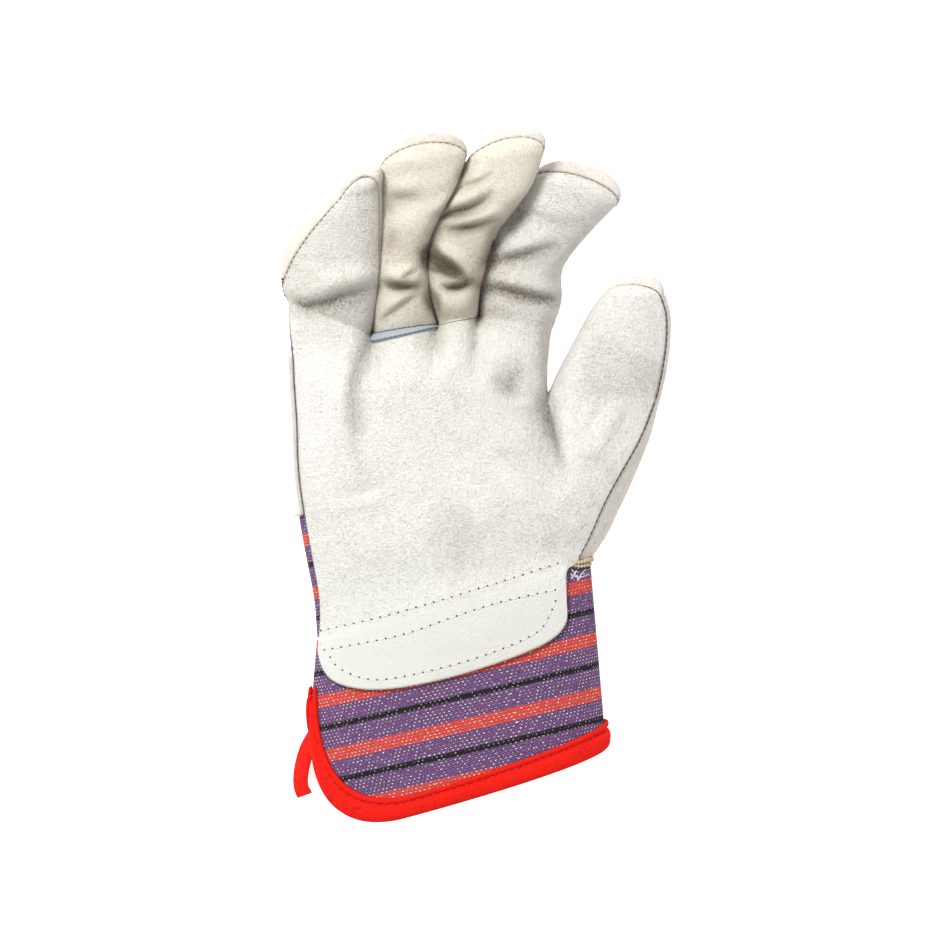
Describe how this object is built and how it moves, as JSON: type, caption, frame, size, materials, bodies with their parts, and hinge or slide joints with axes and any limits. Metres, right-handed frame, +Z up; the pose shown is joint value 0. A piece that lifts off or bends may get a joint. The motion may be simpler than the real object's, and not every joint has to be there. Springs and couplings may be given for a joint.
{
  "type": "rigger work glove",
  "caption": "Right-hand rigger glove lying palm up, with split-leather palm, fingers and knuckle strap, striped cloth back and slit cuff with a bound edge, open inside.",
  "frame": {"origin": "on the flat outer face of the knuckle strap, which the glove rests on, under the middle of the palm", "axes": "+X to the thumb side, +Y along the hand to the fingertips, +Z up out of the palm"},
  "size_m": [0.1576, 0.2748, 0.0606],
  "materials": {
    "grey_suede": "brushed split leather, fuzzy and matte",
    "cream_suede": "smoother split leather, creased",
    "welt_leather": "flat matte strip",
    "striped_drill": "twill with red, purple and black stripes",
    "red_binding": "folded woven tape, matte"
  },
  "bodies": {
    "root": {"palm": "grey_suede", "two_finger_front": "cream_suede", "thumb_back": "grey_suede", "index_back": "grey_suede", "little_fingertip": "grey_suede", "ring_fingertip": "grey_suede", "middle_fingertip": "grey_suede", "knuckle_strap": "grey_suede", "finger_welt": "welt_leather", "hand_back": "striped_drill", "cuff": "striped_drill", "cuff_binding": "red_binding"}
  },
  "joints": []
}
